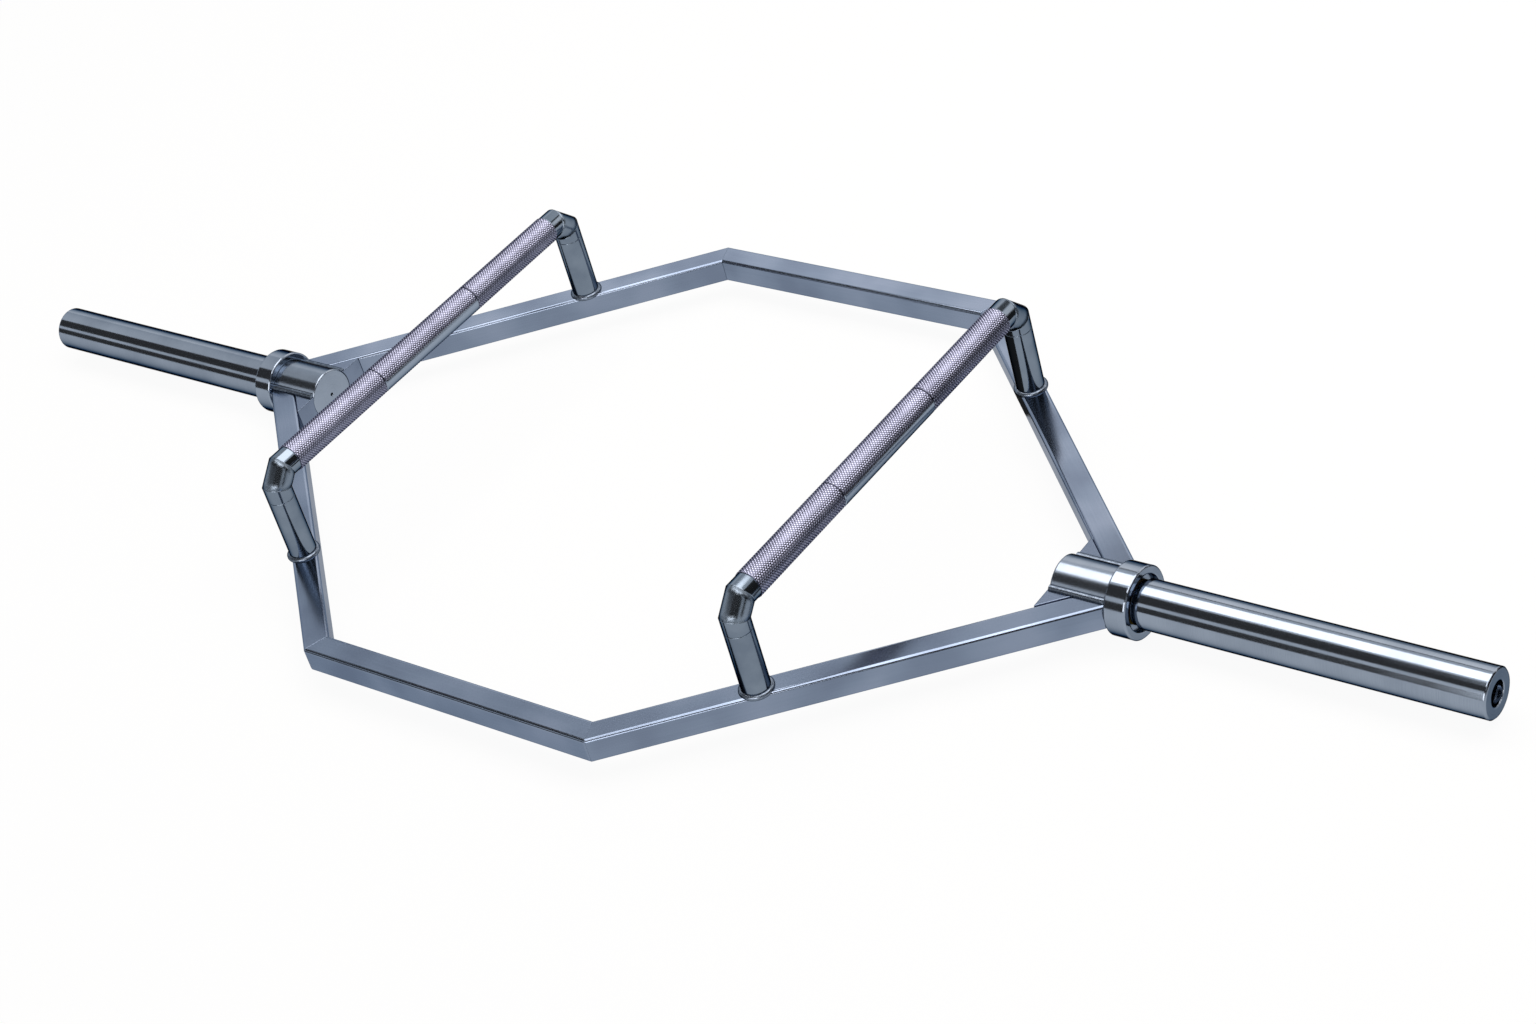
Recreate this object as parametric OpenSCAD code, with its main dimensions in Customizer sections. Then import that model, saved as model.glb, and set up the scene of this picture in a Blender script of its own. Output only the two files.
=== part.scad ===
// Hex trap bar with two raised grips and turning plate sleeves.
// The sleeves lie along X and the grips along Y. The bar stands on its two collars,
// and the origin is on the floor under its middle.

/* [Frame] */
// Distance from the front tube to the back tube, centre to centre
frame_depth = 720; // [660:10:780]
// Length of the front and the back tube, between the corners of the centreline
front_len = 368; // [320:4:420]
// Distance between the two points where the slanted centrelines cross
apex_span = 1154; // [1100:2:1220]
// Side of the square tube
tube_w = 28; // [25:0.5:31]
// Wall of the square tube
tube_wall = 2.5; // [1.5:0.5:3]
// Outside corner radius of the square tube
tube_r = 3.5; // [3.5:0.25:5.5]
// Width of the flat that is ground on the outer edge of each mitred corner
corner_flat = 4; // [2:0.5:6]

/* [Hub] */
// Diameter of the hub
hub_d = 58; // [54:1:62]
// Length of the hub inboard of the collar
hub_len = 65; // [55:1:75]
// Thickness of the hub's closed inboard end
hub_floor = 8; // [5:0.5:12]
// Diameter of the vent hole in the closed end
vent_d = 4; // [2:0.5:6]
// Diameter of the collar that stops the plates
collar_d = 74; // [72:1:88]
// Width of the collar
collar_w = 24; // [18:1:32]
// How far inboard of the crossing point the collar's inner face stands
collar_back = 14; // [12:0.5:16]
// Depth of the recess that the hub leaves in the collar's outer face
recess_depth = 5; // [3:0.5:7]
// Chamfer on the edges of the hub and the collar
hub_chamfer = 1.2; // [0.5:0.1:2]
// Radius of the weld beads beside the hub
hub_bead_r = 4; // [3:0.25:5]
// Radius of the weld bead between a slanted tube's end and the collar
end_bead_r = 2.5; // [1.5:0.25:3]

/* [Sleeve] */
// Diameter of the plate sleeve
sleeve_d = 50; // [48:0.5:50]
// Length of sleeve that takes plates, from the collar's face to the tip
load_len = 360; // [250:5:420]
// How much the sleeve's neck is smaller in radius
neck_step = 2.5; // [1.5:0.5:3.5]
// How far the neck reaches past the collar's face
neck_out = 2; // [1:0.5:4]
// Chamfer on the sleeve's edges
sleeve_chamfer = 1.5; // [0.5:0.25:3]
// Diameter of the bore in the sleeve's tip
tip_bore_d = 25; // [22:0.5:28]
// Depth of the bore in the sleeve's tip
tip_bore_depth = 22; // [18:1:30]
// Thickness of the web between the tip bore and the bushing bore
web_t = 8; // [6:0.5:12]

/* [Bearing] */
// Diameter of the spindle
spindle_d = 30; // [28:0.5:31]
// Diameter of the spindle's end that passes through the web
spindle_tip_d = 18; // [15:0.5:19]
// Outside diameter of the bushings
bushing_d = 34; // [33:0.5:38]
// Length of each bushing
bushing_len = 45; // [30:1:60]
// Radial running clearance between spindle and bushing
running_gap = 0.05; // [0.02:0.01:0.1]
// End play of the sleeve at each end
end_play = 0.3; // [0.2:0.1:0.6]
// Radial clearance round the pieces that turn past each other
free_gap = 0.5; // [0.3:0.1:0.8]
// Thickness of the thrust washer
thrust_t = 2; // [1:0.5:3]
// Diameter of the retaining washer
retainer_d = 24; // [21:0.5:24]
// Thickness of the retaining washer
retainer_t = 3; // [2:0.5:4]

/* [Cap screw] */
// Diameter of the screw's shank
screw_d = 10; // [8:1:12]
// Length of the screw's shank
screw_len = 30; // [20:1:40]
// Diameter of the screw's head
screw_head_d = 16; // [14:0.5:18]
// Height of the screw's head
screw_head_h = 10; // [8:0.5:12]
// Width across the flats of the screw's socket
socket_af = 8; // [5:1:8]
// Depth of the screw's socket
socket_depth = 5; // [3:0.5:6]

/* [Handles] */
// Distance between the two grips, centre to centre
grip_span = 612; // [590:1:650]
// Height of the grips above the sleeve axis
grip_rise = 117.5; // [100:0.5:140]
// Diameter of the knurled grip
grip_d = 32; // [31:0.5:36]
// Diameter of the legs and the elbows
leg_d = 30; // [27:0.5:30.5]
// Wall of the legs, the elbows and the grip's core
leg_wall = 3; // [2:0.25:4]
// Distance from the bend's corner to each mitre, along the axis
bend_cut = 16; // [13:0.5:20]
// Length of each straight end of an elbow, along its axis
bend_tail = 13; // [9:0.5:18]
// Distance from the middle of the grip to each ring mark
ring_mark_y = 79; // [60:1:100]
// Width of a ring mark
ring_mark_w = 1; // [0.6:0.1:2]
// Depth of a ring mark
ring_mark_depth = 0.5; // [0.3:0.1:0.8]
// How far each leg's notched foot reaches down over the tube's rounded edges
notch_depth = 3; // [2:0.25:3.25]
// Radius of the weld bead round each leg's foot
foot_bead_r = 3.25; // [2.5:0.25:4.5]

/* [Hidden] */
$fn = 96;

// Spare length of the tools that cut through a piece
cut_over = 1;
// Height of the sleeve axis above the floor
axis_z = collar_d / 2;
tube_half = tube_w / 2;
hub_r = hub_d / 2;
collar_r = collar_d / 2;
sleeve_r = sleeve_d / 2;
neck_r = sleeve_r - neck_step;
spindle_r = spindle_d / 2;
bushing_r = bushing_d / 2;

// Places along the sleeve axis, measured outwards from the middle of the bar
apex_x = apex_span / 2;
collar_in = apex_x - collar_back;
collar_out = collar_in + collar_w;
hub_in = collar_in - hub_len;
hub_out = collar_out - recess_depth;
sleeve_in = hub_out + thrust_t + end_play;
sleeve_out = collar_out + load_len;
web_out = sleeve_out - tip_bore_depth;
web_in = web_out - web_t;
spindle_in = hub_in + hub_floor;
spindle_shoulder = web_in - end_play;
spindle_out = web_out + end_play;

// Plan of the frame: the front right corner, the slanted tube and its mitre
corner = [front_len / 2, -frame_depth / 2];
slant = [apex_x - corner[0], -corner[1]];
slant_dir = slant / norm(slant);
mitre = slant_dir - [1, 0];
mitre_dir = mitre / norm(mitre);
flat_dir = [-mitre_dir[1], mitre_dir[0]];
// Middle of the flat ground on the corner's outer edge
flat_depth = corner_flat / 2 * norm(slant_dir - [1, 0]) / norm(slant_dir + [1, 0]);
flat_mid = corner - mitre_dir * (tube_half / mitre_dir[1] - flat_depth);
// Half the width that the slanted tube covers along Y
slant_half_y = tube_half / slant_dir[0];
// Distance from the sleeve axis to where a slanted tube's outer side meets the collar, and the bead there
end_seam_y = (apex_x - collar_in) * slant_dir[1] / slant_dir[0] + slant_half_y;
end_bead_len = tube_w - 2 * tube_r;
// Nearest the slanted tubes and gussets come to the sleeve axis before the hub is cut out of them
hub_core_y = 0.8 * sqrt(hub_r * hub_r - tube_half * tube_half);

// Places of a handle
grip_x = grip_span / 2;
grip_z = axis_z + grip_rise;
leg_r = leg_d / 2;
leg_y = centre_y(grip_x);
leg_foot_z = axis_z + tube_half;
bend_end = bend_cut + bend_tail;
leg_top_z = grip_z - bend_end;
grip_half = leg_y - bend_end;
// How far the tools that mitre an elbow reach from its axes
bend_reach = leg_r + cut_over;
// A bend of 90 degrees in three segments turns each mitre plane by a quarter of that
mitre_shift = bend_reach * tan(90 / 4);

// Distance from the sleeve axis to the slanted centreline at x
function centre_y(x) = (apex_x - x) * slant_dir[1] / slant_dir[0];

// Mirrors a right-hand piece to the left for side -1
module on_side(side) {
    mirror([side < 0 ? 1 : 0, 0, 0]) children();
}

// Mirrors a front piece to the back for end 1
module at_end(end) {
    mirror([0, end > 0 ? 1 : 0, 0]) children();
}

// Stands a piece drawn along Z on the sleeve axis, from x outwards
module on_axis(x) {
    translate([x, 0, axis_z]) rotate([0, 90, 0]) children();
}

module rounded_square(side, radius) {
    square([side - 2 * radius, side], center = true);
    square([side, side - 2 * radius], center = true);
    for (sx = [-1, 1], sy = [-1, 1])
        translate([sx, sy] * (side / 2 - radius)) circle(r = radius);
}

// Section of the square tube
module tube_section() {
    difference() {
        rounded_square(tube_w, tube_r);
        rounded_square(tube_w - 2 * tube_wall, tube_r - tube_wall);
    }
}

// Draws a section along the frame from one point of the plan to another, with spare length at both ends
module along_frame(from, to) {
    way = (to - from) / norm(to - from);
    start = from - way * tube_w;
    translate([start[0], start[1], axis_z])
        rotate([0, 0, atan2(way[1], way[0])])
            rotate([90, 0, 90])
                linear_extrude(norm(to - from) + 2 * tube_w) children();
}

// Space that a slanted tube fills, for cutting what is fitted to it
module slanted_bar() {
    along_frame(corner, [apex_x, 0]) rounded_square(tube_w, tube_r);
}

// Upright prism over a plan, taller than the tube
module over_plan(points) {
    translate([0, 0, axis_z - tube_w]) linear_extrude(2 * tube_w) polygon(points);
}

// Cylinder that clears the hub out of what is welded to it
module hub_clearance() {
    on_axis(hub_in - cut_over) cylinder(r = hub_r, h = hub_len + 2 * cut_over);
}

// Front tube, mitred at both corners
module front_tube() {
    right_plan = [flat_mid + flat_dir * tube_w, flat_mid, corner + mitre_dir * tube_w];
    left_plan = [for (i = [2:-1:0]) [-right_plan[i][0], right_plan[i][1]]];
    color("lightslategray") intersection() {
        along_frame([-corner[0], corner[1]], corner) tube_section();
        over_plan(concat(right_plan, left_plan));
    }
}

// Slanted tube, mitred at the corner, cut round the hub and square against the collar
module slanted_tube() {
    flat_end = flat_mid - flat_dir * tube_w;
    inner = corner + mitre_dir * tube_w;
    color("lightslategray") difference() {
        intersection() {
            along_frame(corner, [apex_x, 0]) tube_section();
            over_plan([
                flat_mid, flat_end, [collar_in, flat_end[1]], [collar_in, -hub_core_y],
                [inner[0], -hub_core_y], inner
            ]);
        }
        hub_clearance();
    }
}

// Triangular block that fills the corner between the hub and a slanted tube
module gusset() {
    base_y = centre_y(hub_in) - slant_half_y;
    tip_x = apex_x - (hub_core_y + slant_half_y) * slant_dir[0] / slant_dir[1];
    color("slategray") difference() {
        translate([0, 0, axis_z - tube_half]) linear_extrude(tube_w)
            polygon([[hub_in, -base_y], [tip_x, -hub_core_y], [hub_in, -hub_core_y]]);
        hub_clearance();
    }
}

// Round hub with a closed inboard end and a bore for the spindle
module hub() {
    end = hub_out - hub_in;
    color("silver") on_axis(hub_in) rotate_extrude() polygon([
        [vent_d / 2, 0], [hub_r - hub_chamfer, 0], [hub_r, hub_chamfer], [hub_r, end],
        [spindle_r, end], [spindle_r, hub_floor], [vent_d / 2, hub_floor]
    ]);
}

// Collar on the hub's outboard end, which the first plate rests against
module collar() {
    color("silver") on_axis(collar_in) rotate_extrude() polygon([
        [hub_r, 0], [collar_r - hub_chamfer, 0], [collar_r, hub_chamfer],
        [collar_r, collar_w - hub_chamfer], [collar_r - hub_chamfer, collar_w], [hub_r, collar_w]
    ]);
}

// Weld beads that run along the hub, above and below the tubes and gussets, and up the tubes' ends at the collar
module hub_welds() {
    seam_y = sqrt(hub_r * hub_r - tube_half * tube_half);
    start = hub_in + hub_chamfer;
    color("gainsboro") for (end = [-1, 1]) at_end(end) {
        for (sz = [-1, 1]) difference() {
            translate([start, -seam_y, axis_z + sz * tube_half])
                rotate([0, 90, 0]) cylinder(r = hub_bead_r, h = collar_in - start);
            translate([hub_in, -hub_d, axis_z - tube_half]) cube([hub_len, 2 * hub_d, tube_w]);
            hub_clearance();
        }
        difference() {
            translate([collar_in, -end_seam_y, axis_z - end_bead_len / 2])
                cylinder(r = end_bead_r, h = end_bead_len);
            translate([collar_in, -collar_d, axis_z - tube_w]) cube([collar_w, 2 * collar_d, 2 * tube_w]);
            slanted_bar();
        }
    }
}

// Turned spindle that the sleeve runs on, tapped at its outboard end
module spindle() {
    shoulder = spindle_shoulder - spindle_in;
    end = spindle_out - spindle_in;
    tapped = end - screw_len - cut_over;
    color("silver") on_axis(spindle_in) rotate_extrude() polygon([
        [0, 0], [spindle_r, 0], [spindle_r, shoulder], [spindle_tip_d / 2, shoulder],
        [spindle_tip_d / 2, end], [screw_d / 2, end], [screw_d / 2, tapped], [0, tapped]
    ]);
}

// Flat ring drawn along Z
module ring(outer_r, inner_r, length) {
    difference() {
        cylinder(r = outer_r, h = length);
        translate([0, 0, -cut_over]) cylinder(r = inner_r, h = length + 2 * cut_over);
    }
}

// Length of leg tube drawn along Z
module leg_tube(length) {
    ring(leg_r, leg_r - leg_wall, length);
}

// Bronze washer that keeps the sleeve's inner end off the hub
module thrust_washer() {
    color("goldenrod") on_axis(hub_out) ring(neck_r, spindle_r + running_gap, thrust_t);
}

// Steel washer that the cap screw clamps to the spindle to keep the sleeve on
module retaining_washer() {
    color("dimgray") on_axis(spindle_out) ring(retainer_d / 2, screw_d / 2 + running_gap, retainer_t);
}

// Cap screw with a hexagon socket
module cap_screw() {
    point_to_point = socket_af / cos(30);
    color("dimgray") on_axis(spindle_out + retainer_t) difference() {
        union() {
            cylinder(d = screw_head_d, h = screw_head_h);
            translate([0, 0, -screw_len - retainer_t]) cylinder(d = screw_d, h = screw_len + retainer_t + cut_over);
        }
        translate([0, 0, screw_head_h - socket_depth])
            cylinder(d = point_to_point, h = socket_depth + cut_over, $fn = 6);
    }
}

// Plate sleeve, with a neck in the collar's recess and a bore in its tip
module sleeve() {
    end = sleeve_out - sleeve_in;
    neck = collar_out + neck_out - sleeve_in;
    web_start = web_in - sleeve_in;
    web_end = web_out - sleeve_in;
    web_r = spindle_tip_d / 2 + free_gap;
    tip_bore_r = tip_bore_d / 2;
    color("silver") on_axis(sleeve_in) rotate_extrude() polygon([
        [bushing_r, 0], [neck_r, 0], [neck_r, neck], [sleeve_r - sleeve_chamfer, neck],
        [sleeve_r, neck + sleeve_chamfer], [sleeve_r, end - sleeve_chamfer],
        [sleeve_r - sleeve_chamfer, end], [tip_bore_r, end], [tip_bore_r, web_end],
        [web_r, web_end], [web_r, web_start], [bushing_r, web_start]
    ]);
}

// Bronze bushing pressed into the sleeve, from x outwards
module bushing(x) {
    color("goldenrod") on_axis(x) ring(bushing_r, spindle_r + running_gap, bushing_len);
}

// Knurled grip tube with two ring marks
module grip() {
    color("darkgray") translate([grip_x, grip_half, grip_z]) rotate([90, 0, 0]) difference() {
        ring(grip_d / 2, leg_r - leg_wall, 2 * grip_half);
        for (mark = [-1, 1])
            translate([0, 0, grip_half + mark * ring_mark_y - ring_mark_w / 2])
                ring(grip_d, grip_d / 2 - ring_mark_depth, ring_mark_w);
    }
}

// Keeps the part of an elbow's segment inside the points, given as [towards the grip, up] from the bend's corner
module bend_slice(points) {
    translate([grip_x, -leg_y, grip_z]) intersection() {
        children();
        rotate([90, 0, 90]) linear_extrude(2 * leg_d, center = true) polygon(points);
    }
}

// Elbow segment that carries the grip, mitred at its outer end
module elbow_grip_end() {
    color("lightslategray") bend_slice([
        [bend_cut - mitre_shift, bend_reach], [bend_cut + mitre_shift, -bend_reach],
        [bend_end, -bend_reach], [bend_end, bend_reach]
    ]) rotate([-90, 0, 0]) leg_tube(bend_end);
}

// Elbow segment at 45 degrees, mitred at both ends
module elbow_middle() {
    half_length = bend_cut / sqrt(2) + bend_reach;
    color("lightslategray") bend_slice([
        [bend_cut - mitre_shift, bend_reach], [-bend_reach, bend_reach],
        [-bend_reach, -bend_cut + mitre_shift], [bend_reach, -bend_cut - mitre_shift],
        [bend_cut + mitre_shift, -bend_reach]
    ]) translate([0, bend_cut / 2, -bend_cut / 2]) rotate([-45, 0, 0])
        translate([0, 0, -half_length]) leg_tube(2 * half_length);
}

// Elbow segment that stands on the leg, mitred at its upper end
module elbow_leg_end() {
    color("lightslategray") bend_slice([
        [-bend_reach, -bend_cut + mitre_shift], [bend_reach, -bend_cut - mitre_shift],
        [bend_reach, -bend_end], [-bend_reach, -bend_end]
    ]) translate([0, 0, -bend_end]) leg_tube(bend_end);
}

// Upright leg, notched at its foot to sit over a slanted tube's rounded edges
module leg() {
    foot_z = leg_foot_z - notch_depth;
    color("lightslategray") difference() {
        translate([grip_x, -leg_y, foot_z]) leg_tube(leg_top_z - foot_z);
        slanted_bar();
    }
}

// Weld beads round the feet of one handle's two legs
module leg_welds() {
    color("gainsboro") for (end = [-1, 1]) at_end(end) difference() {
        translate([grip_x, -leg_y, leg_foot_z]) rotate_extrude() translate([leg_r, 0])
            intersection() {
                circle(r = foot_bead_r);
                translate([0, -foot_bead_r]) square([foot_bead_r, 2 * foot_bead_r]);
            }
        slanted_bar();
    }
}

front_tube();
at_end(1) front_tube();  // back_tube
on_side(-1) slanted_tube();  // left_front_tube
on_side(-1) at_end(1) slanted_tube();  // left_back_tube
slanted_tube();  // right_front_tube
at_end(1) slanted_tube();  // right_back_tube
on_side(-1) hub();  // left_hub
hub();  // right_hub
on_side(-1) collar();  // left_collar
collar();  // right_collar
on_side(-1) gusset();  // left_front_gusset
on_side(-1) at_end(1) gusset();  // left_back_gusset
gusset();  // right_front_gusset
at_end(1) gusset();  // right_back_gusset
on_side(-1) hub_welds();  // left_hub_welds
hub_welds();  // right_hub_welds
on_side(-1) spindle();  // left_spindle
spindle();  // right_spindle
on_side(-1) thrust_washer();  // left_thrust_washer
thrust_washer();  // right_thrust_washer
on_side(-1) retaining_washer();  // left_retaining_washer
retaining_washer();  // right_retaining_washer
on_side(-1) cap_screw();  // left_cap_screw
cap_screw();  // right_cap_screw
on_side(-1) sleeve();  // left_sleeve
sleeve();  // right_sleeve
on_side(-1) bushing(sleeve_in);  // left_inner_bushing
on_side(-1) bushing(web_in - bushing_len);  // left_outer_bushing
bushing(sleeve_in);  // right_inner_bushing
bushing(web_in - bushing_len);  // right_outer_bushing
on_side(-1) grip();  // left_grip
grip();  // right_grip
on_side(-1) elbow_grip_end();  // left_front_elbow_grip_end
on_side(-1) elbow_middle();  // left_front_elbow_middle
on_side(-1) elbow_leg_end();  // left_front_elbow_leg_end
on_side(-1) at_end(1) elbow_grip_end();  // left_back_elbow_grip_end
on_side(-1) at_end(1) elbow_middle();  // left_back_elbow_middle
on_side(-1) at_end(1) elbow_leg_end();  // left_back_elbow_leg_end
elbow_grip_end();  // right_front_elbow_grip_end
elbow_middle();  // right_front_elbow_middle
elbow_leg_end();  // right_front_elbow_leg_end
at_end(1) elbow_grip_end();  // right_back_elbow_grip_end
at_end(1) elbow_middle();  // right_back_elbow_middle
at_end(1) elbow_leg_end();  // right_back_elbow_leg_end
on_side(-1) leg();  // left_front_leg
on_side(-1) at_end(1) leg();  // left_back_leg
leg();  // right_front_leg
at_end(1) leg();  // right_back_leg
on_side(-1) leg_welds();  // left_leg_welds
leg_welds();  // right_leg_welds
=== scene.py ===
import math

import bpy
from mathutils import Euler, Matrix, Vector


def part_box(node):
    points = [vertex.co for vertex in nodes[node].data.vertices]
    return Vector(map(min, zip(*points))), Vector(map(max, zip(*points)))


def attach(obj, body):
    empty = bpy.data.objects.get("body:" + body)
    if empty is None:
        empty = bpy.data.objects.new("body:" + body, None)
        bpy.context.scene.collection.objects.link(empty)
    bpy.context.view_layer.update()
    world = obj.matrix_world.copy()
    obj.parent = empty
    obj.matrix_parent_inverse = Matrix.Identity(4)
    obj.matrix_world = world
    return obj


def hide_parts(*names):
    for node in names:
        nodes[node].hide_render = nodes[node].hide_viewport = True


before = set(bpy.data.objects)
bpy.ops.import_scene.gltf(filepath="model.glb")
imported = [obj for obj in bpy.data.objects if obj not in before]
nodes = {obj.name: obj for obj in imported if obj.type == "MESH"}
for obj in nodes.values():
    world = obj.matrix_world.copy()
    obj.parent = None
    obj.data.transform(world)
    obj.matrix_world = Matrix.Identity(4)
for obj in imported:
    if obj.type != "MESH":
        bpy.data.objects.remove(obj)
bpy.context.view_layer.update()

sides = ("left", "right")
plainWhite = (1.0, 1.0, 1.0, 1.0)


def hexToLinear(code):
    # the numbers are those of the sRGB standard's own curve
    values = [int(code[i:i + 2], 16) / 255 for i in (1, 3, 5)]
    linear = [v / 12.92 if v <= 0.04045 else ((v + 0.055) / 1.055) ** 2.4 for v in values]
    return (*linear, 1.0)


def addNode(tree, kind, settings=None, links=None):
    # a key that is a socket's name or number sets or joins that socket; any other key sets the node itself
    node = tree.nodes.new(kind)
    settings = settings or {}
    for key, value in settings.items():
        if isinstance(key, str) and key not in node.inputs:
            setattr(node, key, value)
    for key, value in settings.items():
        if isinstance(key, int) or key in node.inputs:
            node.inputs[key].default_value = value
    for key, source in (links or {}).items():
        tree.links.new(source, node.inputs[key])
    return node


def setRamp(node, stops):
    # stops are pairs of a place on the ramp and a hex code
    ramp = node.color_ramp
    while len(ramp.elements) > len(stops):
        ramp.elements.remove(ramp.elements[-1])
    while len(ramp.elements) < len(stops):
        ramp.elements.new(1.0)
    for element, (place, colour) in zip(ramp.elements, stops):
        element.position = place
        element.color = hexToLinear(colour)


# camera, fitted to the object's outline in the photo
cameraSettings = {
    "sensorWidth": 36,  # mm
    "lens": 73.23,  # mm
    "clipStart": 0.05,  # m
    "clipEnd": 60,
    "place": (2.0037, -1.8112, 1.9115),  # m
    "turn": (52.9496, 13.4651, 35.9529),  # degrees; the picture leans, so the middle one isn't zero
}


def makeCamera(values):
    data = bpy.data.cameras.new("photoCamera")
    data.sensor_width = values["sensorWidth"]
    data.lens = values["lens"]
    data.clip_start = values["clipStart"]
    data.clip_end = values["clipEnd"]
    camera = bpy.data.objects.new("photoCamera", data)
    bpy.context.scene.collection.objects.link(camera)
    turn = Euler([math.radians(angle) for angle in values["turn"]]).to_matrix()
    camera.matrix_world = Matrix.Translation(values["place"]) @ turn.to_4x4()
    bpy.context.scene.camera = camera


makeCamera(cameraSettings)
bpy.context.scene.view_settings.view_transform = "Standard"
print("camera placed")


# studio: a pale floor in a plain pale room, with softboxes and black flags hung along the bar
studioSettings = {
    "floorHalf": 14.0,  # m, as are all lengths here
    "floorColour": "#E8E8E8",
    "floorGlow": 0.94,  # share of plain white that the floor shows to the camera and to the metal
    "roomLevel": 0.45,  # the room's own light on matt surfaces
    "softboxColour": "#FFF8F2",
    "mattLight": "overheadSoftbox",  # the one card that also lights matt surfaces
    # the softboxes give the metal its white bands and the flags its dark ones; each card has a brightness
    # and three corners in order, and the fourth completes the rectangle
    "softboxes": {
        "overheadSoftbox": (4.3, (-1.8, 1.73, 3.04), (3.0, 1.73, 3.04), (3.0, -0.37, 3.04)),
        "shoulderSoftbox": (5.0, (0.2, -0.50, 3.04), (1.6, -0.50, 3.04), (1.6, -1.40, 2.66)),
        "frontSoftbox": (5.0, (-0.1, -2.49, 1.68), (2.2, -2.49, 1.68), (2.2, -2.95, 0.40)),
        "rearPanel": (1.7, (-7.0, 3.0, 0.8), (4.0, 3.0, 0.8), (4.0, 3.0, 3.1)),
    },
    "flags": {
        "upperFlag": (0.08, (-7.0, -0.70, 2.85), (-0.2, -0.70, 2.85), (-0.2, -1.43, 2.62)),
        "middleFlag": (0.08, (-7.0, -1.43, 2.62), (3.5, -1.43, 2.62), (3.5, -2.31, 1.95)),
        "elbowFlag": (0.06, (0.0, -2.31, 1.95), (3.5, -2.31, 1.95), (3.5, -2.49, 1.68)),
        "lowerFlag": (0.08, (-7.0, -2.70, 1.35), (-0.3, -2.70, 1.35), (-0.3, -3.00, 0.10)),
        "leftFlag": (0.08, (-3.2, 1.60, 3.04), (-1.85, 1.60, 3.04), (-1.85, -0.70, 3.04)),
        "lineFlag": (0.08, (0.0, 0.73, 0.72), (0.55, 0.73, 0.72), (0.55, 0.68, 0.77)),
        "cornerFlag": (0.06, (2.2, -1.97, 2.19), (4.4, -1.97, 2.19), (4.4, -2.92, 0.10)),
        "sideFlag": (0.04, (3.4, -1.0, 0.0), (3.4, 7.0, 0.0), (3.4, 7.0, 3.4)),
        "rightFloorFlag": (0.04, (0.62, 0.13, 0.004), (3.4, 0.13, 0.004), (3.4, 4.0, 0.004)),
        "middleFloorFlag": (0.04, (0.02, -0.10, 0.004), (0.28, -0.10, 0.004), (0.28, 0.28, 0.004)),
    },
}


def whiteRays(tree):
    # 1 for the rays that see the plain white background: the camera's, and those of metal and glass
    rays = addNode(tree, "ShaderNodeLightPath").outputs
    larger = {"operation": "MAXIMUM"}
    seen = addNode(tree, "ShaderNodeMath", larger, {0: rays["Is Camera Ray"], 1: rays["Is Glossy Ray"]})
    anySeen = addNode(tree, "ShaderNodeMath", larger, {0: seen.outputs[0], 1: rays["Is Transmission Ray"]})
    return anySeen.outputs[0]


def makeSheet(name, corners, material):
    first, second, third = (Vector(corner) for corner in corners)
    mesh = bpy.data.meshes.new(name)
    mesh.from_pydata([first, second, third, first + third - second], [], [(0, 1, 2, 3)])
    mesh.materials.append(material)
    sheet = bpy.data.objects.new(name, mesh)
    bpy.context.scene.collection.objects.link(sheet)
    return sheet


def makeFloor(values):
    material = bpy.data.materials.new("paleStudioFloor")
    material.use_nodes = True
    tree = material.node_tree
    tree.nodes.clear()
    matt = addNode(tree, "ShaderNodeBsdfDiffuse", {"Color": hexToLinear(values["floorColour"])}).outputs[0]
    glow = addNode(tree, "ShaderNodeEmission", {"Color": plainWhite, "Strength": 1.0}).outputs[0]
    weaker = {"operation": "MULTIPLY", 1: values["floorGlow"]}
    share = addNode(tree, "ShaderNodeMath", weaker, {0: whiteRays(tree)}).outputs[0]
    both = addNode(tree, "ShaderNodeMixShader", None, {0: share, 1: matt, 2: glow})
    addNode(tree, "ShaderNodeOutputMaterial", None, {"Surface": both.outputs[0]})
    half = values["floorHalf"]
    makeSheet("studioFloor", ((-half, -half, 0), (half, -half, 0), (half, half, 0)), material)


def makeCard(name, corners, level, colour, lightsMatt):
    material = bpy.data.materials.new(name)
    material.use_nodes = True
    tree = material.node_tree
    tree.nodes.clear()
    light = addNode(tree, "ShaderNodeEmission", {"Color": hexToLinear(colour), "Strength": level})
    addNode(tree, "ShaderNodeOutputMaterial", None, {"Surface": light.outputs[0]})
    card = makeSheet(name, corners, material)
    card.visible_camera = False
    card.visible_shadow = False
    card.visible_diffuse = lightsMatt


def makeRoom(values):
    world = bpy.data.worlds.new("paleRoom")
    bpy.context.scene.world = world
    world.use_nodes = True
    tree = world.node_tree
    tree.nodes.clear()
    room = addNode(tree, "ShaderNodeBackground", {"Color": plainWhite, "Strength": values["roomLevel"]})
    white = addNode(tree, "ShaderNodeBackground", {"Color": plainWhite, "Strength": 1.0})
    both = addNode(tree, "ShaderNodeMixShader", None, {
        0: whiteRays(tree), 1: room.outputs[0], 2: white.outputs[0],
    })
    addNode(tree, "ShaderNodeOutputWorld", None, {"Surface": both.outputs[0]})


makeFloor(studioSettings)
makeRoom(studioSettings)
for group in ("softboxes", "flags"):
    for name, (level, *corners) in studioSettings[group].items():
        makeCard(name, corners, level, studioSettings["softboxColour"], name == studioSettings["mattLight"])
print("studio lit")


# materials
metalSettings = {
    "grainHeight": 0.0002,  # m, the depth of the grain at full strength
    "arrisSamples": 8,
}


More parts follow.
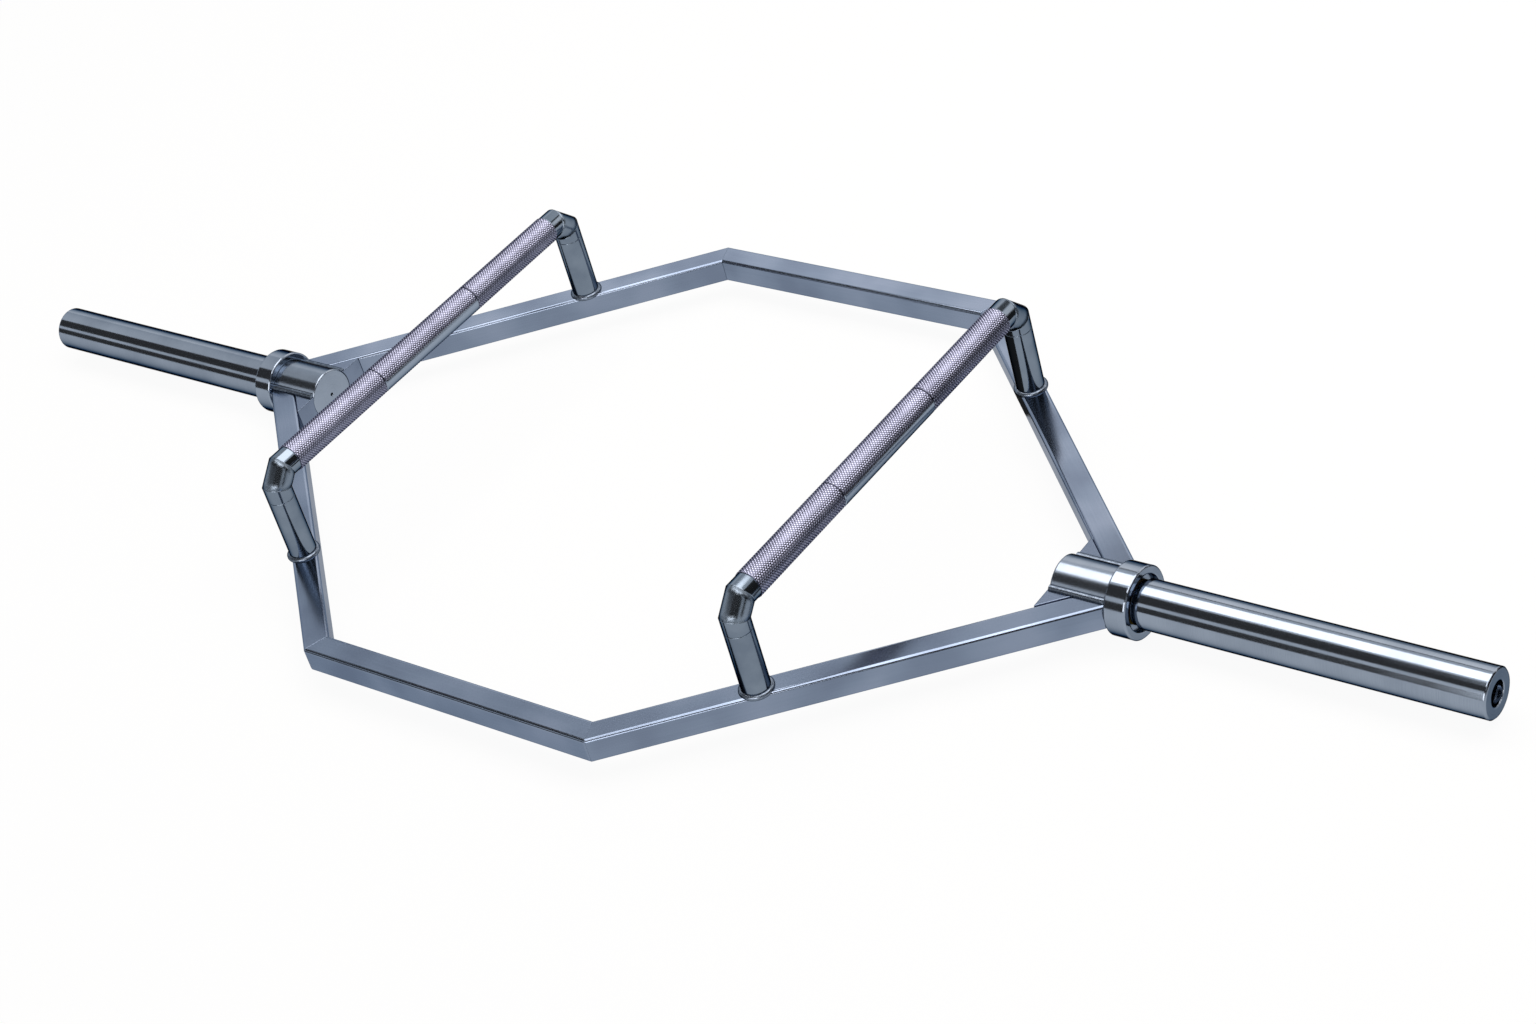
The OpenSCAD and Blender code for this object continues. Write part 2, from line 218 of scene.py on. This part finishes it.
def newMetal(name, values):
    material = bpy.data.materials.new(name)
    material.use_nodes = True
    tree = material.node_tree
    tree.nodes.clear()
    shader = addNode(tree, "ShaderNodeBsdfPrincipled", {
        "Metallic": 1.0,
        "Specular Tint": hexToLinear(values["edgeTint"]),
    })
    addNode(tree, "ShaderNodeOutputMaterial", None, {"Surface": shader.outputs[0]})
    place = addNode(tree, "ShaderNodeTexCoord")
    return material, tree, shader, place.outputs["Object"]


def dressMetal(tree, shader, values, pattern, tones, height):
    # colour, gloss and relief all follow from one pattern, as wear does
    tone = addNode(tree, "ShaderNodeValToRGB", None, {0: pattern})
    setRamp(tone, tones)
    worn = addNode(tree, "ShaderNodeMapRange", {
        "From Min": tones[0][0], "From Max": tones[-1][0],
        "To Min": values["roughness"] + values["roughnessSpan"] / 2,
        "To Max": values["roughness"] - values["roughnessSpan"] / 2,
    }, {"Value": pattern})
    grain = addNode(tree, "ShaderNodeBump", {
        "Strength": values["grain"], "Distance": metalSettings["grainHeight"],
    }, {"Height": height})
    if "arris" in values:
        # an edge that polishing has rounded off, which catches a thin line of light
        rounded = addNode(tree, "ShaderNodeBevel", {
            "samples": metalSettings["arrisSamples"], "Radius": values["arris"],
        })
        tree.links.new(rounded.outputs[0], grain.inputs["Normal"])
    tree.links.new(tone.outputs[0], shader.inputs["Base Color"])
    tree.links.new(worn.outputs[0], shader.inputs["Roughness"])
    tree.links.new(grain.outputs[0], shader.inputs["Normal"])


# The round polished pieces have a near-black edge tint: a painted shade that takes their brightness away
# where they turn from the eye, and that shows as a thin dark outline

# Cold drawn steel tube, polished along its length and then left satin: the eye sees soft clouds and faint
# streaks along the tube, and reflections that fray at their edges. Real polishing lines are about 0.1 mm
# wide, and are drawn at 1.2 mm to show at all
satinTube = {
    "colour": "#768397", "cloudDark": "#6D798D", "cloudLight": "#808CA0", "edgeTint": "#A4ACB8",
    "tonePlaces": (0.40, 0.57, 0.76),  # where in the pattern the three colours are, from dark to light
    "roughness": 0.17, "roughnessSpan": 0.05, "grain": 0.05, "arris": 0.0010,
    "cloudSize": 0.075, "streakLength": 0.060, "streakWidth": 0.0012,  # m
    "streakShare": 0.16,
    "slantTurn": 42.5,  # degrees between a slanted tube and the front, seen from above
}


def satinTubeMaterial(name, values, turn, mirrored):
    material, tree, shader, place = newMetal(name, values)
    if mirrored:
        # all four slanted tubes are the same one mirrored, so one quarter's pattern serves them
        place = addNode(tree, "ShaderNodeVectorMath", {"operation": "ABSOLUTE"}, {0: place}).outputs[0]
    along = addNode(tree, "ShaderNodeMapping", {"Rotation": (0, 0, math.radians(turn))}, {"Vector": place})
    stretched = addNode(tree, "ShaderNodeMapping", {
        "Scale": (1 / values["streakLength"], 1 / values["streakWidth"], 1 / values["streakWidth"]),
    }, {"Vector": along.outputs[0]})
    clouds = addNode(tree, "ShaderNodeTexNoise", {
        "Scale": 1 / values["cloudSize"], "Detail": 2.0, "Roughness": 0.45,
    }, {"Vector": along.outputs[0]})
    streaks = addNode(tree, "ShaderNodeTexNoise", {
        "Scale": 1.0, "Detail": 3.0,
    }, {"Vector": stretched.outputs[0]}).outputs[0]
    pattern = addNode(tree, "ShaderNodeMath", {
        "operation": "MULTIPLY_ADD", 1: values["streakShare"],
    }, {0: streaks, 2: clouds.outputs[0]}).outputs[0]
    colours = (values["cloudDark"], values["colour"], values["cloudLight"])
    dressMetal(tree, shader, values, pattern, list(zip(values["tonePlaces"], colours)), streaks)
    return material


# Steel bar turned on a lathe, then polished and bright chromed: clear bands of reflected light along it,
# and fine rings round it. Real turning marks are 0.1 mm apart, and are drawn at 0.8 mm to show at all
turnedChrome = {
    # the near-black edge tint paints a dark outline of shade where the chrome turns from the eye
    "colour": "#8C97A6", "shade": "#7F8A99", "edgeTint": "#181B20",
    "tonePlaces": (0.55, 0.90),
    "roughness": 0.12, "roughnessSpan": 0.05, "grain": 0.04,
    "arris": 0.002, "ringPitch": 0.0008, "smudgeSize": 0.05,  # m
    "ringShare": 0.5,
}
# the hub only comes off the lathe and isn't polished, so its bands run into each other
turnedHub = dict(turnedChrome, roughness=0.20)


def turnedChromeMaterial(name, values, axisHeight):
    material, tree, shader, place = newMetal(name, values)
    toAxis = {"Location": (0, 0, -axisHeight)}
    centred = addNode(tree, "ShaderNodeMapping", toAxis, {"Vector": place}).outputs[0]
    crossways = {"operation": "MULTIPLY", 1: (0, 1, 1)}
    flattened = addNode(tree, "ShaderNodeVectorMath", crossways, {0: centred}).outputs[0]
    radius = addNode(tree, "ShaderNodeVectorMath", {"operation": "LENGTH"}, {0: flattened}).outputs["Value"]
    length = addNode(tree, "ShaderNodeSeparateXYZ", None, {0: centred}).outputs["X"]
    # rings follow the length on the round faces and the radius on the flat ends
    travel = addNode(tree, "ShaderNodeMath", {"operation": "ADD"}, {0: length, 1: radius}).outputs[0]
    rings = addNode(tree, "ShaderNodeTexNoise", {
        "noise_dimensions": "1D", "Scale": 1 / values["ringPitch"], "Detail": 2.0,
    }, {"W": travel}).outputs[0]
    smudges = addNode(tree, "ShaderNodeTexNoise", {
        "Scale": 1 / values["smudgeSize"], "Detail": 4.0,
    }, {"Vector": place}).outputs[0]
    pattern = addNode(tree, "ShaderNodeMath", {
        "operation": "MULTIPLY_ADD", 1: values["ringShare"],
    }, {0: rings, 2: smudges}).outputs[0]
    colours = (values["shade"], values["colour"])
    dressMetal(tree, shader, values, pattern, list(zip(values["tonePlaces"], colours)), rings)
    return material


# Round tube for the handles, buffed to a mirror over its mitres: deep darks beside clear whites
buffedTube = {
    # the near-black edge tint paints a dark outline of shade where the tube turns from the eye
    "colour": "#75818F", "shade": "#697584", "edgeTint": "#181B20",
    "roughness": 0.12, "roughnessSpan": 0.05, "grain": 0.05, "arris": 0.0015, "cloudSize": 0.03,
}
# the middle piece of an elbow is buffed across both mitres, which leaves it slightly crowned and less sharp
crownedTube = dict(buffedTube, arris=0.009, roughness=0.14)

# Plate cut by laser and linished on a belt: like the tubes, with edges rounded off enough to shine
linishedPlate = {
    "colour": "#748094", "shade": "#6A768A", "edgeTint": "#A4ACB8",
    "roughness": 0.22, "roughnessSpan": 0.08, "grain": 0.06, "arris": 0.0015, "cloudSize": 0.04,
}

# Weld bead, ground smooth and buffed: the ripples of the pool still break up its reflections
buffedWeld = {
    # the near-black edge tint paints a dark outline of shade where the bead turns from the eye
    "colour": "#75808F", "shade": "#5C6674", "edgeTint": "#181B20",
    "roughness": 0.30, "roughnessSpan": 0.10, "grain": 0.25, "cloudSize": 0.0035,
}

# Cylindrically ground shaft: even grey with little colour
groundShaft = {
    "colour": "#BDC0C4", "shade": "#A9ACB1", "edgeTint": "#C8CACC",
    "roughness": 0.22, "roughnessSpan": 0.08, "grain": 0.05, "cloudSize": 0.006,
}

# Sintered bronze soaked in oil: dark brown, dulled by its pores and the film on it
sinteredBronze = {
    "colour": "#7E6E56", "shade": "#5C4F3C", "edgeTint": "#C8B48C",
    "roughness": 0.38, "roughnessSpan": 0.14, "grain": 0.10, "cloudSize": 0.0015,
}

# Zinc plated screw and washer: pale grey with a faint blue
zincPlate = {
    "colour": "#B4BBC4", "shade": "#98A0AA", "edgeTint": "#C8CCD2",
    "roughness": 0.26, "roughnessSpan": 0.10, "grain": 0.06, "arris": 0.0004, "cloudSize": 0.004,
}


mottlePlaces = (0.36, 0.64)  # where in the noise the shade and the colour are


def mottledMetal(name, values):
    material, tree, shader, place = newMetal(name, values)
    clouds = addNode(tree, "ShaderNodeTexNoise", {
        "Scale": 1 / values["cloudSize"], "Detail": 3.0,
    }, {"Vector": place}).outputs[0]
    colours = (values["shade"], values["colour"])
    dressMetal(tree, shader, values, clouds, list(zip(mottlePlaces, colours)), clouds)
    return material


# Tube with a fine rolled diamond knurl, blasted dull before plating: violet grey, paler where the points
# have worn, darker down in the grooves as painted shade, and with a strip left smooth on its right side
rolledKnurl = {
    # the dark groove colour is painted shade down in the grooves
    "point": "#AEB2C8", "flank": "#7D8096", "groove": "#363845", "smooth": "#8D99A9",
    # the near-black edge tint paints a dark outline of shade where the grip turns from the eye
    "edgeTint": "#1C1D25",
    "tonePlaces": (0.15, 0.55, 1.0),  # heights of groove, flank and point, with the wear added
    "roughness": 0.25, "roughnessSpan": 0.08, "smoothRoughness": 0.20,
    "dullHeight": 0.2, "glossyHeight": 1.1,  # the points are worn shinier than the grooves
    "wearSize": 0.035,  # m
    "wearShare": 0.35,
}


def rolledKnurlMaterial(name, values):
    material, tree, shader, place = newMetal(name, values)
    # the grip's own geometry says how high a point of it is and where it is smooth
    height = addNode(tree, "ShaderNodeAttribute", {"attribute_name": "pointHeight"}).outputs["Fac"]
    smooth = addNode(tree, "ShaderNodeAttribute", {"attribute_name": "smoothStrip"}).outputs["Fac"]
    wear = addNode(tree, "ShaderNodeTexNoise", {
        "Scale": 1 / values["wearSize"], "Detail": 3.0,
    }, {"Vector": place}).outputs[0]
    worn = addNode(tree, "ShaderNodeMath", {
        "operation": "MULTIPLY_ADD", 1: values["wearShare"],
    }, {0: wear, 2: height}).outputs[0]
    tone = addNode(tree, "ShaderNodeValToRGB", None, {0: worn})
    setRamp(tone, list(zip(values["tonePlaces"], (values["groove"], values["flank"], values["point"]))))
    knurlGloss = addNode(tree, "ShaderNodeMapRange", {
        "From Min": values["dullHeight"], "From Max": values["glossyHeight"],
        "To Min": values["roughness"] + values["roughnessSpan"] / 2,
        "To Max": values["roughness"] - values["roughnessSpan"] / 2,
    }, {"Value": worn}).outputs[0]
    # inputs 6 and 7 are the two colours of a mix node, and 2 and 3 its two numbers
    colour = addNode(tree, "ShaderNodeMix", {
        "data_type": "RGBA", 7: hexToLinear(values["smooth"]),
    }, {0: smooth, 6: tone.outputs[0]})
    gloss = addNode(tree, "ShaderNodeMix", {3: values["smoothRoughness"]}, {0: smooth, 2: knurlGloss})
    tree.links.new(colour.outputs[2], shader.inputs["Base Color"])
    tree.links.new(gloss.outputs[0], shader.inputs["Roughness"])
    return material


sleeveLow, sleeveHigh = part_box("right_sleeve")
materials = {
    "straightTube": satinTubeMaterial("satinDrawnTubeStraight", satinTube, 0.0, False),
    "slantedTube": satinTubeMaterial("satinDrawnTubeSlanted", satinTube, satinTube["slantTurn"], True),
    "chrome": turnedChromeMaterial("turnedBrightChrome", turnedChrome, (sleeveLow.z + sleeveHigh.z) / 2),
    "hub": turnedChromeMaterial("turnedHubSteel", turnedHub, (sleeveLow.z + sleeveHigh.z) / 2),
    "handleTube": mottledMetal("buffedRoundTube", buffedTube),
    "mitredTube": mottledMetal("buffedMitredTube", crownedTube),
    "plate": mottledMetal("linishedGussetPlate", linishedPlate),
    "weld": mottledMetal("buffedWeldBead", buffedWeld),
    "shaft": mottledMetal("groundSpindleShaft", groundShaft),
    "bronze": mottledMetal("oiledSinteredBronze", sinteredBronze),
    "zinc": mottledMetal("zincPlatedFastener", zincPlate),
    "knurl": rolledKnurlMaterial("rolledDiamondKnurl", rolledKnurl),
}
# the first ending that fits counts; the slanted tubes' names start with their side
materialByEnding = {
    "_front_tube": "slantedTube", "_back_tube": "slantedTube",
    "front_tube": "straightTube", "back_tube": "straightTube",
    "_sleeve": "chrome", "_hub": "hub", "_collar": "chrome", "_gusset": "plate", "_welds": "weld",
    "_spindle": "shaft", "_bushing": "bronze", "_thrust_washer": "bronze",
    "_retaining_washer": "zinc", "_cap_screw": "zinc", "_grip": "knurl",
    "_elbow_grip_end": "handleTube", "_elbow_middle": "mitredTube", "_elbow_leg_end": "handleTube",
    "_leg": "handleTube",
}


def materialFor(name):
    return next(chosen for ending, chosen in materialByEnding.items() if name.endswith(ending))


for name, node in nodes.items():
    node.data.materials.clear()
    node.data.materials.append(materials[materialFor(name)])
print("materials given to", len(nodes), "nodes")


# knurled grips
gripSettings = {
    "Radius": 0.01595,  # m, as are all lengths here; a hair less than the plain grip's
    "Bore Radius": 0.012,
    "Knurl Depth": 0.0004,
    "Starts": 24,  # diamonds round the grip, 4.2 mm apart
    "Periods": 134,  # diamonds along the grip, 3.3 mm apart
    "Ring Place": 0.079,
    "Ring Width": 0.0013,
    "Ring Depth": 0.0006,
    "Smooth Middle": math.radians(-14),  # where the smooth strip lies, up from the right side
    "Smooth Reach": math.radians(27),
}
stepsPerDiamond = 4
endReach = 0.0001  # a row nearer to the end than this is the end's own
mergeDistance = 0.00001  # joins the seam along the grip and the first row to the last

# each step of the sums is a name, an operation and what goes in: earlier names, settings or numbers
gridSteps = (
    ("columns", "MULTIPLY", "Starts", stepsPerDiamond),
    ("gridColumns", "ADD", "columns", 1),
    ("skinRows", "MULTIPLY", "Periods", stepsPerDiamond),
    # the skin has a row more than steps, and three rows past it go down the end face, back through the bore
    # and up to the first row
    ("gridRows", "ADD", "skinRows", 4),
)
shapeSteps = (
    # the sheet's points are numbered up each column in turn; the half keeps the share clear of whole numbers
    ("indexInside", "ADD", "index", 0.5),
    ("columnPlace", "DIVIDE", "indexInside", "gridRows"),
    ("column", "FLOOR", "columnPlace"),
    ("columnStart", "MULTIPLY", "column", "gridRows"),
    ("row", "SUBTRACT", "index", "columnStart"),
    ("turn", "DIVIDE", "column", "columns"),
    ("angle", "MULTIPLY", "turn", 2 * math.pi),
    # place along the grip, back at the start from the second row past the skin
    ("rowsPast", "SUBTRACT", "row", "skinRows"),
    ("outward", "LESS_THAN", "rowsPast", 1.5),
    ("rowShare", "DIVIDE", "row", "skinRows"),
    ("cappedShare", "MINIMUM", "rowShare", 1.0),
    ("share", "MULTIPLY", "cappedShare", "outward"),
    ("centredShare", "SUBTRACT", "share", 0.5),
    ("along", "MULTIPLY", "centredShare", "Length"),
    ("fromMiddle", "ABSOLUTE", "along"),
    # two crossing families of grooves; a point is 1 and a groove 0
    ("risingPlace", "ADD", "column", "row"),
    ("risingTurn", "DIVIDE", "risingPlace", stepsPerDiamond),
    ("risingHalf", "PINGPONG", "risingTurn", 0.5),
    ("fallingPlace", "SUBTRACT", "column", "row"),
    ("fallingTurn", "DIVIDE", "fallingPlace", stepsPerDiamond),
    ("fallingHalf", "PINGPONG", "fallingTurn", 0.5),
    ("lowerHalf", "MINIMUM", "risingHalf", "fallingHalf"),
    ("diamond", "MULTIPLY", "lowerHalf", 2),
    # the middle zone has a smooth strip on its right side
    ("fromStrip", "SUBTRACT", "angle", "Smooth Middle"),
    ("stripCosine", "COSINE", "fromStrip"),
    ("reachCosine", "COSINE", "Smooth Reach"),
    ("inStrip", "GREATER_THAN", "stripCosine", "reachCosine"),
    ("inMiddleZone", "LESS_THAN", "fromMiddle", "Ring Place"),
    ("smooth", "MULTIPLY", "inStrip", "inMiddleZone"),
    ("relief", "MAXIMUM", "diamond", "smooth"),
    # a ring mark at both ends of the middle zone
    ("fromRing", "SUBTRACT", "fromMiddle", "Ring Place"),
    ("ringDistance", "ABSOLUTE", "fromRing"),
    ("ringHalf", "DIVIDE", "Ring Width", 2),
    ("inRing", "LESS_THAN", "ringDistance", "ringHalf"),
    ("outsideRing", "SUBTRACT", 1.0, "inRing"),
    ("point", "MULTIPLY", "relief", "outsideRing"),
    ("ringDrop", "MULTIPLY", "inRing", "Ring Depth"),
    ("hollow", "SUBTRACT", 1.0, "point"),
    ("knurlDrop", "MULTIPLY", "hollow", "Knurl Depth"),
    ("skinDrop", "MAXIMUM", "knurlDrop", "ringDrop"),
    # the end faces start from the bottom of the grooves
    ("halfLength", "DIVIDE", "Length", 2),
    ("toEnd", "SUBTRACT", "halfLength", "fromMiddle"),
    ("atEnd", "LESS_THAN", "toEnd", endReach),
    ("endDrop", "MULTIPLY", "atEnd", "Knurl Depth"),
    ("drop", "MAXIMUM", "skinDrop", "endDrop"),
    ("skinRadius", "SUBTRACT", "Radius", "drop"),
    # the first two rows past the skin are the bore's two ends
    ("afterSkin", "GREATER_THAN", "rowsPast", 0.5),
    ("beforeFirst", "LESS_THAN", "rowsPast", 2.5),
    ("inBore", "MULTIPLY", "afterSkin", "beforeFirst"),
    ("toBore", "SUBTRACT", "Bore Radius", "skinRadius"),
    ("radius", "MULTIPLY_ADD", "inBore", "toBore", "skinRadius"),
    ("cosine", "COSINE", "angle"),
    ("sine", "SINE", "angle"),
    ("placeX", "MULTIPLY_ADD", "cosine", "radius", "Centre X"),
    ("placeZ", "MULTIPLY_ADD", "sine", "radius", "Centre Z"),
)


def workOut(tree, found, steps):
    for name, operation, *given in steps:
        settings = {place: value for place, value in enumerate(given) if not isinstance(value, str)}
        links = {place: found[value] for place, value in enumerate(given) if isinstance(value, str)}
        found[name] = addNode(tree, "ShaderNodeMath", dict(settings, operation=operation), links).outputs[0]


def makeGripTree(material, names):
    tree = bpy.data.node_groups.new("knurledGrip", "GeometryNodeTree")
    for name in names:
        kind = "NodeSocketInt" if name in ("Starts", "Periods") else "NodeSocketFloat"
        tree.interface.new_socket(name, in_out="INPUT", socket_type=kind)
    tree.interface.new_socket("Geometry", in_out="OUTPUT", socket_type="NodeSocketGeometry")
    given = addNode(tree, "NodeGroupInput").outputs
    found = {name: given[name] for name in names}
    found["index"] = addNode(tree, "GeometryNodeInputIndex").outputs[0]
    workOut(tree, found, gridSteps)
    sheet = addNode(tree, "GeometryNodeMeshGrid", None, {
        "Vertices X": found["gridColumns"], "Vertices Y": found["gridRows"],
    })
    workOut(tree, found, shapeSteps)
    place = addNode(tree, "ShaderNodeCombineXYZ", None, {
        "X": found["placeX"], "Y": found["along"], "Z": found["placeZ"],
    })
    # the knurl's material reads these two
    heights = addNode(tree, "GeometryNodeStoreNamedAttribute", {
        "data_type": "FLOAT", "domain": "POINT", "Name": "pointHeight",
    }, {"Geometry": sheet.outputs["Mesh"], "Value": found["point"]})
    strips = addNode(tree, "GeometryNodeStoreNamedAttribute", {
        "data_type": "FLOAT", "domain": "POINT", "Name": "smoothStrip",
    }, {"Geometry": heights.outputs[0], "Value": found["smooth"]})
    shaped = addNode(tree, "GeometryNodeSetPosition", None, {
        "Geometry": strips.outputs[0], "Position": place.outputs[0],
    })
    closed = addNode(tree, "GeometryNodeMergeByDistance", {
        "Distance": mergeDistance,
    }, {"Geometry": shaped.outputs[0]})
    outward = addNode(tree, "GeometryNodeFlipFaces", None, {"Mesh": closed.outputs[0]})
    split = addNode(tree, "GeometryNodeTriangulate", None, {"Mesh": outward.outputs[0]})
    whole = addNode(tree, "GeometryNodeRealizeInstances", None, {"Geometry": split.outputs[0]})
    finished = addNode(tree, "GeometryNodeSetMaterial", {
        "Material": material,
    }, {"Geometry": whole.outputs[0]})
    addNode(tree, "NodeGroupOutput", None, {0: finished.outputs[0]})
    return tree


def meshFromTree(name, tree, values):
    carrier = bpy.data.objects.new(name + "Carrier", bpy.data.meshes.new(name + "Carrier"))
    bpy.context.scene.collection.objects.link(carrier)
    modifier = carrier.modifiers.new("shape", "NODES")
    modifier.node_group = tree
    for item in tree.interface.items_tree:
        if item.in_out == "INPUT":
            modifier[item.identifier] = values[item.name]
    evaluated = carrier.evaluated_get(bpy.context.evaluated_depsgraph_get())
    mesh = bpy.data.meshes.new_from_object(evaluated)
    mesh.name = name
    carrier.modifiers.remove(modifier)
    bpy.data.objects.remove(carrier)
    piece = bpy.data.objects.new(name, mesh)
    bpy.context.scene.collection.objects.link(piece)
    return piece


gripTree = makeGripTree(materials["knurl"], [*gripSettings, "Centre X", "Centre Z", "Length"])
for side in sides:
    low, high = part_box(side + "_grip")
    middle = (low + high) / 2
    values = dict(gripSettings, **{"Centre X": middle.x, "Centre Z": middle.z, "Length": high.y - low.y})
    grip = meshFromTree(side + "KnurledGrip", gripTree, values)
    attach(grip, "frame")
    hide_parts(side + "_grip")
    print(grip.name, len(grip.data.polygons), "triangles")
print("grips knurled")
